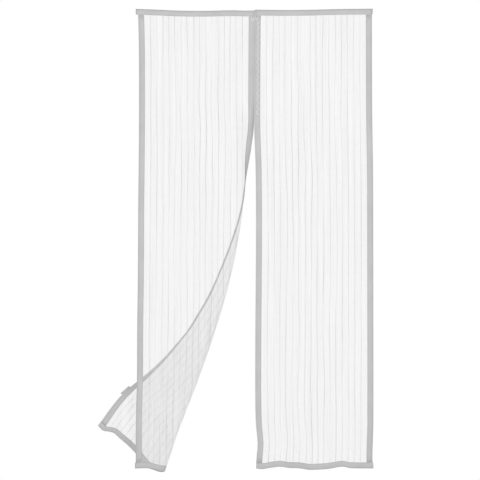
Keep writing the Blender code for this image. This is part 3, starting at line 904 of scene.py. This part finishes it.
def folded_wall(width, wall, crown):
    """The front wall of a folded tape from its inner edge to its fold: (inward, t)."""
    outside = wall + TAPE_THICKNESS / 2
    inside = wall - TAPE_THICKNESS / 2
    groove = outside - SEAM_GROOVE
    sewn = width - INNER_SEAM
    inner_lip, outer_lip, fold_lip = (outside + crown * rise for rise in LIP_RISES)
    outer = [
        (width, inside + RAW_EDGE), (width - ROUND_EDGE, outside),
        (sewn + INNER_LIP, inner_lip), (sewn, groove), (sewn - INNER_LIP, inner_lip),
        (width * FULLEST[0], outside + crown), (width * FULLEST[1], outside + crown),
        (OUTER_SEAM + OUTER_LIP, outer_lip), (OUTER_SEAM, groove),
        (OUTER_SEAM - OUTER_LIP, fold_lip),
    ]
    outer += [(inward, outside * share) for inward, share in FOLD_CURVE]
    return outer, [(width - ROUND_EDGE, inside), (TAPE_THICKNESS, inside)]


def pocket_wall(crown):
    """The same for the tape that holds the magnets, which is fuller over its pocket."""
    outer, inner = folded_wall(TAPE_WIDTH, WALL_MIDDLE, crown)
    pocket_outer, pocket_inner = folded_wall(TAPE_WIDTH, POCKET_WALL, crown)
    reach = POCKET_DEPTH + POCKET_EASE
    bulged = [far if near[0] < reach else near for near, far in zip(outer, pocket_outer)]
    return bulged, [inner[0], (POCKET_DEPTH, pocket_inner[0][1]), pocket_inner[1]]


def loop_of(outer, inner):
    """The closed cross-section of a folded tape from its front wall."""
    front = [(inward, -t) for inward, t in outer]
    inner_front = [(inward, -t) for inward, t in reversed(inner)]
    return front + [(FOLD_TIP, 0.0)] + outer[::-1] + inner + inner_front


def flat_strip(name, loop, stations, place):
    """A closed strip: its cross-section is carried along the stations, flat."""
    strip = bmesh.new()
    flat_map = strip.loops.layers.uv.new("flat_map")
    rings = []
    for station in stations:
        rings.append([strip.verts.new(place(station, inward, t)) for inward, t in loop])
    count = len(loop)
    for j in range(len(stations) - 1):
        for i in range(count):
            nxt = (i + 1) % count
            corners = (rings[j][i], rings[j][nxt], rings[j + 1][nxt], rings[j + 1][i])
            spots = ((i, j), (nxt, j), (nxt, j + 1), (i, j + 1))
            face = strip.faces.new(corners)
            for corner, (line, row) in zip(face.loops, spots):
                corner[flat_map].uv = (loop[line][0], stations[row])
    for ring, station in ((rings[0], stations[0]), (rings[-1], stations[-1])):
        face = strip.faces.new(ring)
        for corner, (inward, t) in zip(face.loops, loop):
            corner[flat_map].uv = (inward, station)
    bmesh.ops.recalc_face_normals(strip, faces=strip.faces)
    return mesh_from(strip, bpy.data.meshes.new(name))


def hang_piece(name, side, slot, nodes, tree, values, flat=None, closed=True):
    """Hang one piece on a panel and let it ride on the part, in place of its nodes."""
    mesh = run_tree(name, flat, tree, {"Surface": hung_surface(side)} | values)
    if closed:
        turn_outwards(mesh)
    piece = new_piece(name, mesh)
    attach(piece, "root")
    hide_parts(*nodes)


def turn_outwards(mesh):
    """Turn every closed shell of a mesh outwards."""
    shape = bmesh.new()
    shape.from_mesh(mesh)
    bmesh.ops.recalc_face_normals(shape, faces=shape.faces)
    mesh_from(shape, mesh)


def hung_surface(side):
    """The helper surface of a panel, made the first time that it is needed."""
    return bpy.data.objects.get(side + "_surface") or make_surface(side)


def tape_places(side):
    """How each tape of a panel runs: its wall, its stations and its flat place."""
    plain = even_stations(*TAPE_RUN_DOWN, TAPE_STEP)
    folded = even_stations(*TAPE_RUN_DOWN, FOLDED_STEP) if side == "left" else plain
    hem = even_stations(*HEM_RUN, HEM_STEP)
    header = even_stations(-HEADER_OVERHANG[side], PANEL_WIDTH, HEADER_STEP)
    return {
        "side_tape": ("flat", plain, lambda s, i, t: (i, s, t)),
        "meeting_edge_tape": ("pocket", folded, lambda s, i, t: (PANEL_WIDTH - i, s, t)),
        "hem_tape": ("flat", hem, lambda s, i, t: (s, PANEL_HEIGHT - i, t)),
        "header_tape": ("header", header, lambda s, i, t: (s, i, t)),
    }


class SCREEN_OT_net(bpy.types.Operator):
    """Lay the yarns of both nets flat and hang them"""

    bl_idname = "screen.net"
    bl_label = "Hang the nets"

    def execute(self, context):
        net = context.scene.screen_net
        width, height = NET_SIZE
        apart = (PANEL_WIDTH - 2 * TAPE_WIDTH) / (net.stripes + 1)
        plans = {
            "Warp": (
                "white_warp", net.warp_colour, net.warp_width,
                int(width / net.warp_pitch), NET_EDGE, net.warp_pitch,
            ),
            "Weft": (
                "grey_weft", net.weft_colour, net.weft_width,
                int(height / net.weft_pitch), NET_EDGE, net.weft_pitch,
            ),
            "Stripe": (
                "satin_stripe", net.stripe_colour, net.stripe_yarn,
                net.stripes, TAPE_WIDTH + apart, apart,
            ),
        }
        values = {"Stray": net.stray}
        for yarn, (name, colour, thick, count, first, pitch) in plans.items():
            whole, length = (PANEL_WIDTH, width) if yarn == "Weft" else (PANEL_HEIGHT, height)
            values |= {
                yarn + " count": count, yarn + " first": first, yarn + " pitch": pitch,
                yarn + " width": thick, yarn + " middle": whole / 2, yarn + " length": length,
                yarn + " material": yarn_material(name, tuple(colour), YARN_SHADES[yarn], STREAKS),
            }
        tree = net_tree()
        for side in ("left", "right"):
            name = side + "_net"
            values |= {yarn + " bends": points for yarn, points in YARN_POINTS[side].items()}
            hang_piece(name + "_cloth", side, "white_net", [name], tree, values, closed=False)
        return {"FINISHED"}


class SCREEN_OT_tapes(bpy.types.Operator):
    """Fold the binding tapes over the edges of both panels"""

    bl_idname = "screen.tapes"
    bl_label = "Bind the edges"

    def execute(self, context):
        tape = context.scene.screen_tape
        # The fold colour is painted shade along the rolled fold, darker still on the header; the
        # pocket tapes get none, their own colour running to the fold.
        fold = tuple(tape.painted_fold_colour)
        dark = scaled(fold, HEADER_PAINTED_FOLD_SHADE)
        kinds = {
            "flat": (
                tape_material("woven_tape", tape, TAPE_WIDTH, fold),
                folded_wall(TAPE_WIDTH, WALL_MIDDLE, tape.crown),
            ),
            "header": (
                tape_material("header_woven_tape", tape, HEADER_HEIGHT, dark),
                folded_wall(HEADER_HEIGHT, WALL_MIDDLE, tape.crown),
            ),
            "pocket": (
                tape_material("pocket_woven_tape", tape, TAPE_WIDTH, tuple(tape.colour)),
                pocket_wall(tape.crown),
            ),
        }
        tree = cloth_tree()
        for side in ("left", "right"):
            for node, (kind, stations, place) in tape_places(side).items():
                name = f"{side}_{node}"
                material, wall = kinds[kind]
                flat = flat_strip(name, loop_of(*wall), stations, place)
                values = {"Material": material}
                hang_piece(name + "_cloth", side, "grey_tape", [name], tree, values, flat)
        return {"FINISHED"}


class SCREEN_OT_stitching(bpy.types.Operator):
    """Sew every tape down with lines of stitches, front and back"""

    bl_idname = "screen.stitching"
    bl_label = "Sew the tapes"

    def execute(self, context):
        sewing = context.scene.screen_stitch
        shades = (THREAD_SHADES, EVEN_GRAIN)
        thread = yarn_material("sewing_thread", tuple(sewing.colour), *shades)
        pale = yarn_material("zigzag_thread", tuple(sewing.zigzag_colour), *shades)
        tree = stitch_tree()
        for side in ("left", "right"):
            rows = self.zigzag(side, sewing, pale) + self.seams(side, sewing, thread)
            meshes = [
                run_tree(f"{side}_row_{index}", None, tree, {"Surface": hung_surface(side)} | row)
                for index, row in enumerate(rows)
            ]
            piece = join_meshes(side + "_stitching", meshes)
            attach(piece, "root")
        return {"FINISHED"}

    def zigzag(self, side, sewing, thread):
        """The pale tack below the header, and on the right the long zigzag below it."""
        fall = sewing.zigzag_pitch / 2
        rows = []
        for turn in (1.0, -1.0):
            strokes = [(
                TACK_INWARD + turn * TACK_ACROSS / 2, HEADER_HEIGHT + TACK_DROP / 2, 1,
                TACK_ACROSS, TACK_DROP,
            )]
            if side == "right":
                down = HEADER_HEIGHT + TACK_DROP + (2.0 - turn) * fall / 2
                count = int(sewing.zigzag_length / sewing.zigzag_pitch)
                strokes.append((ZIGZAG_INWARD, down, count, ZIGZAG_ACROSS, fall))
            rows += [{
                "Count": count, "Start": Vector((PANEL_WIDTH - inward, down, -ZIGZAG_DEPTH)),
                "Step": Vector((0.0, sewing.zigzag_pitch, 0.0)),
                "Length": math.hypot(across, drop), "Thickness": sewing.zigzag_thickness,
                "Slant": turn * math.atan2(drop, across), "Material": thread,
            } for inward, down, count, across, drop in strokes]
        return rows

    def seams(self, side, sewing, thread):
        """The seams of a panel's tapes, each of them on the front and on the back."""
        rows = []
        for first, last, depth in self.seam_lines(side):
            span = (Vector(last) - Vector(first)).to_3d()
            count = int(span.length / sewing.pitch)
            step = span / count
            level = abs(span.x) > abs(span.y)
            rows += [{
                "Count": count, "Start": Vector((*first, face * depth)) + step / 2, "Step": step,
                "Length": sewing.length, "Thickness": sewing.thickness,
                "Slant": STITCH_LEAN if level else math.pi / 2 + STITCH_LEAN, "Material": thread,
            } for face in (-1.0, 1.0)]
        return rows

    def seam_lines(self, side):
        """Both ends and the depth of each line of stitches on a panel."""
        top, bottom = TAPE_RUN_DOWN
        outer, inner = HEM_RUN
        flat = TAPE_BACK - SEAM_BITE
        full = POCKET_WALL + TAPE_THICKNESS / 2 - SEAM_BITE
        lines = []
        for inward, pocket in ((OUTER_SEAM, full), (TAPE_WIDTH - INNER_SEAM, flat)):
            meeting = PANEL_WIDTH - inward
            hem = PANEL_HEIGHT - inward
            lines.append(((inward, top), (inward, bottom), flat))
            lines.append(((meeting, top), (meeting, bottom), pocket))
            lines.append(((outer, hem), (inner, hem), flat))
        for down in (OUTER_SEAM, HEADER_HEIGHT - INNER_SEAM):
            lines.append(((-HEADER_OVERHANG[side], down), (inner, down), flat))
        return lines


class SCREEN_OT_tab(bpy.types.Operator):
    """Sew the opening tab to the free edge of the left panel"""

    bl_idname = "screen.tab"
    bl_label = "Add the opening tab"

    def execute(self, context):
        tape = context.scene.screen_tape
        half = TAB_THICKNESS / 2
        near = [(inward, -half * share) for inward, share in TAB_EDGE]
        far = [(TAB_LENGTH - inward, t) for inward, t in reversed(near)]
        back = [(far[2][0], half), (near[1][0], half)]
        loop = near + [(TAB_LENGTH / 2, -half * TAB_BULGE)] + far + back
        top = PANEL_HEIGHT - TAB_ABOVE_HEM - TAB_LENGTH / 2
        stations = even_stations(PANEL_WIDTH - POCKET_DEPTH, PANEL_WIDTH + TAB_REACH, TAB_STEP)
        flat = flat_strip("tab", loop, stations, lambda s, i, t: (s, top + i, TAB_MIDDLE + t))
        name = "opening_tab"
        # The tab gets the tapes' painted shade at one edge and at the other, and painted light over
        # its middle.
        values = {"Material": tape_material("tab_tape", tape, TAB_LENGTH, tuple(tape.painted_fold_colour))}
        hang_piece(name + "_cloth", "left", "grey_tape", [name], cloth_tree(), values, flat)
        return {"FINISHED"}


class SCREEN_OT_strips(bpy.types.Operator):
    """Lay the loop and hook strips on the backs of the header and the side tapes"""

    bl_idname = "screen.strips"
    bl_label = "Add the hook and loop strips"

    def execute(self, context):
        pile = strip_material("loop_pile", **LOOP_PILE)
        hooks = strip_material("hook_backing", **HOOK_BACK)
        tree = cloth_tree()
        bottom = PANEL_HEIGHT - TAPE_WIDTH - STRIP_END_INSET
        for side in ("left", "right"):
            first = STRIP_END_INSET - HEADER_OVERHANG[side]
            down = even_stations(HEADER_HEIGHT + STRIP_END_INSET, bottom, TAPE_STEP)
            across = even_stations(first, PANEL_WIDTH - STRIP_END_INSET, HEADER_STEP)
            whole = even_stations(first, PANEL_WIDTH - MEETING_GAP / 2, HEADER_STEP)
            loop = (LOOP_MIDDLE, LOOP_THICKNESS, pile, "loop_pile")
            hook = (HOOK_MIDDLE, HOOK_THICKNESS, hooks, "hook_strip")
            for name, stations, (middle, thickness, material, slot) in (
                ("side_loop", down, loop), ("side_hook_strip", down, hook),
                ("header_loop", across, loop), ("header_hook_strip", whole, hook),
            ):
                level = name.startswith("header")
                start = ((HEADER_HEIGHT if level else TAPE_WIDTH) - STRIP_WIDTH) / 2

                def place(s, i, t, start=start, middle=middle, level=level):
                    return (s, start + i, middle + t) if level else (start + i, s, middle + t)

                flat = flat_strip(name, self.section(thickness), stations, place)
                node = name if name == "header_hook_strip" else f"{side}_{name}"
                values = {"Material": material}
                hang_piece(f"{side}_{name}_layer", side, slot, [node], tree, values, flat)
        return {"FINISHED"}

    def section(self, thickness):
        """The closed cross-section of a strip with rounded edges."""
        half = thickness / 2
        across = (ROUND_EDGE, STRIP_WIDTH / 2, STRIP_WIDTH - ROUND_EDGE)
        front = [(0.0, 0.0)] + [(inward, -half) for inward in across]
        return front + [(STRIP_WIDTH - inward, -t) for inward, t in front]


class SCREEN_OT_magnets(bpy.types.Operator):
    """Slip the magnets into the pockets of the meeting edges"""

    bl_idname = "screen.magnets"
    bl_label = "Add the magnets"

    def execute(self, context):
        step = (PANEL_HEIGHT - MAGNET_ABOVE_HEM - MAGNET_BELOW_TOP) / (MAGNET_COUNT - 1)
        middle = PANEL_WIDTH - MAGNET_INSET - MAGNET_WIDTH / 2
        values = {
            "Count": MAGNET_COUNT, "Material": magnet_material(),
            "Start": Vector((middle, MAGNET_BELOW_TOP, 0.0)), "Step": Vector((0.0, step, 0.0)),
            "Size": Vector((MAGNET_WIDTH, MAGNET_LENGTH, MAGNET_THICKNESS)),
        }
        tree = magnet_tree()
        for side in ("left", "right"):
            nodes = [f"{side}_magnet_{index:02d}" for index in range(1, MAGNET_COUNT + 1)]
            hang_piece(side + "_magnet_bars", side, "magnet_steel", nodes, tree, values)
        return {"FINISHED"}


class SCREEN_OT_sheets(bpy.types.Operator):
    bl_idname = "screen.sheets"
    bl_label = "Declare the cloth"

    def execute(self, context):
        for side in ("left", "right"):
            ends = ("_cloth", "_layer", "_stitching")
            sewn_on = [
                piece for piece in context.scene.objects
                if piece.name.startswith(side) and piece.name.endswith(ends)
            ]
            cloth = bpy.data.objects[side + "_net_cloth"]
            sewn_on.remove(cloth)
            if side == "left":
                sewn_on.append(bpy.data.objects["opening_tab_cloth"])
        return {"FINISHED"}


class SCREEN_OT_stage(bpy.types.Operator):
    """Set up the floor, the white surroundings, the lamps and the camera"""

    bl_idname = "screen.stage"
    bl_label = "Set the stage"

    def execute(self, context):
        scene = context.scene
        stage = scene.screen_stage
        self.floor(stage)
        self.surroundings(scene, stage)
        self.lamps(stage)
        self.camera(scene, stage)
        scene.view_settings.view_transform = "Standard"
        return {"FINISHED"}

    def floor(self, stage):
        """A wide plain floor just below the hems, which keeps a soft shadow."""
        shape = bmesh.new()
        bmesh.ops.create_grid(shape, x_segments=1, y_segments=1, size=FLOOR_HALF)
        mesh = mesh_from(shape, bpy.data.meshes.new("studio_floor"))
        mesh.transform(Matrix.Translation((0.0, 0.0, CAD_BOX[0][2] - stage.floor_drop)))
        floor = new_piece("studio_floor", mesh)
        material, tree, place = new_material("pale_floor", FLOOR_LOOKS)
        noise = noise_of(tree, place, *FLOOR_NOISE)
        wire_up(material, {"Base Color": ramp_of(tree, noise, FLOOR_SHADES)})
        rays = put(tree, "ShaderNodeLightPath").outputs
        reach = put(tree, "ShaderNodeVectorMath", {0: place}, operation="LENGTH").outputs["Value"]
        fade = range_of(tree, reach, (FLOOR_SEEN, 1.0), FLOOR_FADE)
        seen = number(tree, "MULTIPLY", rays["Is Camera Ray"], fade)
        white = put(tree, "ShaderNodeEmission", {"Color": WHITE, "Strength": 1.0})
        self.mix(tree, seen, tree.nodes["Principled BSDF"], white, "Material Output")
        mesh.materials.append(material)

    def surroundings(self, scene, stage):
        """Even pale light all round, which the camera sees as plain white."""
        world = bpy.data.worlds.new("white_studio")
        world.use_nodes = True
        tree = world.node_tree
        rays = put(tree, "ShaderNodeLightPath").outputs
        most = number(tree, "MAXIMUM", rays["Is Camera Ray"], rays["Is Glossy Ray"])
        clear = number(tree, "MAXIMUM", most, rays["Is Transmission Ray"])
        even = tree.nodes["Background"]
        even.inputs["Color"].default_value = WHITE
        even.inputs["Strength"].default_value = stage.ambient
        white = put(tree, "ShaderNodeBackground", {"Color": WHITE, "Strength": 1.0})
        self.mix(tree, clear, even, white, "World Output")
        scene.world = world

    def mix(self, tree, share, first, second, output):
        """Nodes that mix two shaders and end a tree."""
        wires = {0: share, 1: first.outputs[0], 2: second.outputs[0]}
        mixed = put(tree, "ShaderNodeMixShader", wires).outputs[0]
        tree.links.new(mixed, tree.nodes[output].inputs["Surface"])

    def lamps(self, stage):
        """Two large soft lamps in front of the screen, one to each side."""
        for name, place, share in LAMPS:
            lamp = bpy.data.lights.new(name, "AREA")
            lamp.shape = "RECTANGLE"
            lamp.size, lamp.size_y = LAMP_SIZE
            lamp.energy = stage.key_power * share
            holder = new_piece(name, lamp)
            holder.location = place
            aim = Vector(SCREEN_MIDDLE) - holder.location
            holder.rotation_euler = aim.to_track_quat("-Z", "Y").to_euler()

    def camera(self, scene, stage):
        """A long lens square on to the screen, framed as in the photograph."""
        camera = bpy.data.cameras.new("front_camera")
        camera.sensor_width = SENSOR_WIDTH
        camera.lens = SENSOR_WIDTH * stage.distance / VIEW_WIDTH
        camera.clip_end = 2 * stage.distance
        holder = new_piece("front_camera", camera)
        holder.location = Vector(SCREEN_MIDDLE) - Vector((0.0, stage.distance, 0.0))
        holder.rotation_euler = (math.pi / 2, 0.0, 0.0)
        scene.camera = holder


class SCREEN_PT_panel(bpy.types.Panel):
    """Lists the settings and the steps of the screen."""

    bl_label = "Insect screen"
    bl_idname = "SCREEN_PT_panel"
    bl_space_type = "VIEW_3D"
    bl_region_type = "UI"
    bl_category = "Screen"

    def draw(self, context):
        for name in SETTINGS:
            box = self.layout.box()
            settings = getattr(context.scene, name)
            for field in settings.bl_rna.properties.keys():
                if field not in ("rna_type", "name"):
                    box.prop(settings, field)
        for step in STEPS:
            self.layout.operator(step.bl_idname)


SETTINGS = {
    "screen_net": NetSettings,
    "screen_tape": TapeSettings,
    "screen_stitch": StitchSettings,
    "screen_stage": StageSettings,
}
STEPS = (
    SCREEN_OT_net,
    SCREEN_OT_tapes,
    SCREEN_OT_stitching,
    SCREEN_OT_tab,
    SCREEN_OT_strips,
    SCREEN_OT_magnets,
    SCREEN_OT_sheets,
    SCREEN_OT_stage,
)


def register():
    """Register the settings, the steps and the sidebar panel."""
    for name, settings in SETTINGS.items():
        bpy.utils.register_class(settings)
        setattr(bpy.types.Scene, name, PointerProperty(type=settings))
    for step in (*STEPS, SCREEN_PT_panel):
        bpy.utils.register_class(step)


def unregister():
    """Take them out again."""
    for step in reversed((*STEPS, SCREEN_PT_panel)):
        bpy.utils.unregister_class(step)
    for name, settings in SETTINGS.items():
        delattr(bpy.types.Scene, name)
        bpy.utils.unregister_class(settings)


def main():
    """Make every piece in order."""
    register()
    bpy.ops.screen.net()
    bpy.ops.screen.tapes()
    bpy.ops.screen.stitching()
    bpy.ops.screen.tab()
    bpy.ops.screen.strips()
    bpy.ops.screen.magnets()
    bpy.ops.screen.sheets()
    bpy.ops.screen.stage()
    for side in ("left", "right"):
        bpy.data.objects.remove(bpy.data.objects[side + "_surface"])


if __name__ == "__main__":
    main()
